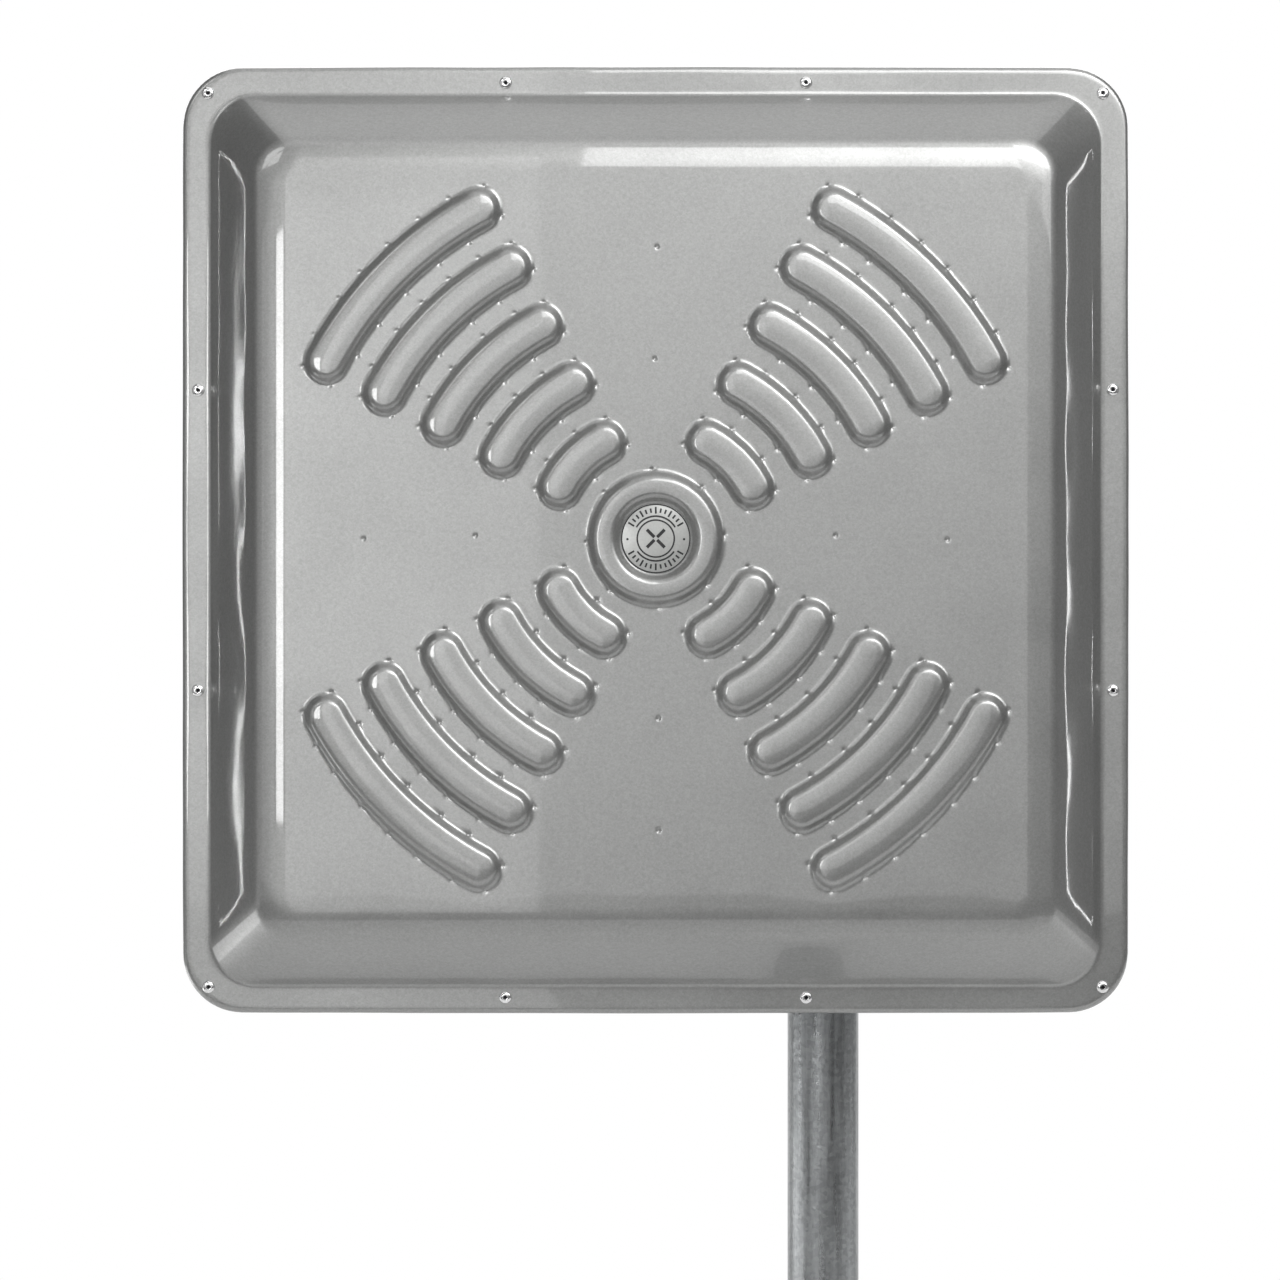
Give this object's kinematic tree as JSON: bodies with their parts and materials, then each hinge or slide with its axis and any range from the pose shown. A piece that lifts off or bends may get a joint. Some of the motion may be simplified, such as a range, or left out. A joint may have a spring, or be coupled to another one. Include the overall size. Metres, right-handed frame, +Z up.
{
  "type": "flat panel antenna",
  "caption": "Square flat-panel directional antenna with a silver ribbed radome, riveted round its flange, on a tilting clamp that grips a round aerial mast",
  "frame": {"origin": "centre of the mast's foot, on the mast's axis", "axes": "+Z runs up the mast, the panel faces -Y, and +X is to the right of someone who looks at the panel's face"},
  "size_m": [0.45, 0.155, 0.715],
  "materials": {
    "silver_plastic": "gloss",
    "galvanised": "satin",
    "zinc_hardware": "satin",
    "plate_alloy": "satin",
    "rivet_alloy": "gloss",
    "cast_alloy": "matte",
    "seal_rubber": "matte",
    "black_plastic": "matte",
    "nylon": "matte",
    "board_laminate": "matte",
    "copper": "satin",
    "nickel": "gloss",
    "white_resin": "matte",
    "gilt": "polished",
    "label_film": "satin"
  },
  "bodies": {
    "mast": {"mast_tube": "galvanised", "mast_cap": "black_plastic"},
    "clamp": {"clamp_bracket": "galvanised", "mast_jaws": "cast_alloy", "u_bolts": "zinc_hardware", "grip_washers": "zinc_hardware", "grip_nuts": "zinc_hardware", "tilt_bolts": "zinc_hardware", "tilt_nuts": "zinc_hardware", "tilt_washers": "zinc_hardware", "ear_washers": "nylon"},
    "panel": {"carrier_bracket": "galvanised", "plate_studs": "zinc_hardware", "stud_washers": "zinc_hardware", "stud_nuts": "zinc_hardware", "reflector_plate": "plate_alloy", "flange_seal": "seal_rubber", "flange_rivets": "rivet_alloy", "radome": "silver_plastic", "badge_disc": "label_film", "board_spacers": "nylon", "feed_board": "board_laminate", "feed_copper": "copper", "board_screws": "zinc_hardware", "director_posts": "nylon", "director_plates": "plate_alloy", "director_screws": "zinc_hardware", "socket_gaskets": "seal_rubber", "socket_bodies": "nickel", "socket_insulators": "white_resin", "socket_contacts": "gilt", "socket_screws": "zinc_hardware", "drain_vent": "black_plastic", "rear_label": "label_film"}
  },
  "joints": [
    {"name": "azimuth", "type": "hinge", "parent": "mast", "child": "clamp", "pos_m": [0, 0, 0.49], "axis": [0, 0, 1], "continuous": true},
    {"name": "tilt", "type": "hinge", "parent": "clamp", "child": "panel", "pos_m": [0, -0.052, 0.507], "axis": [1, 0, 0], "range_deg": [-15, 15]}
  ]
}
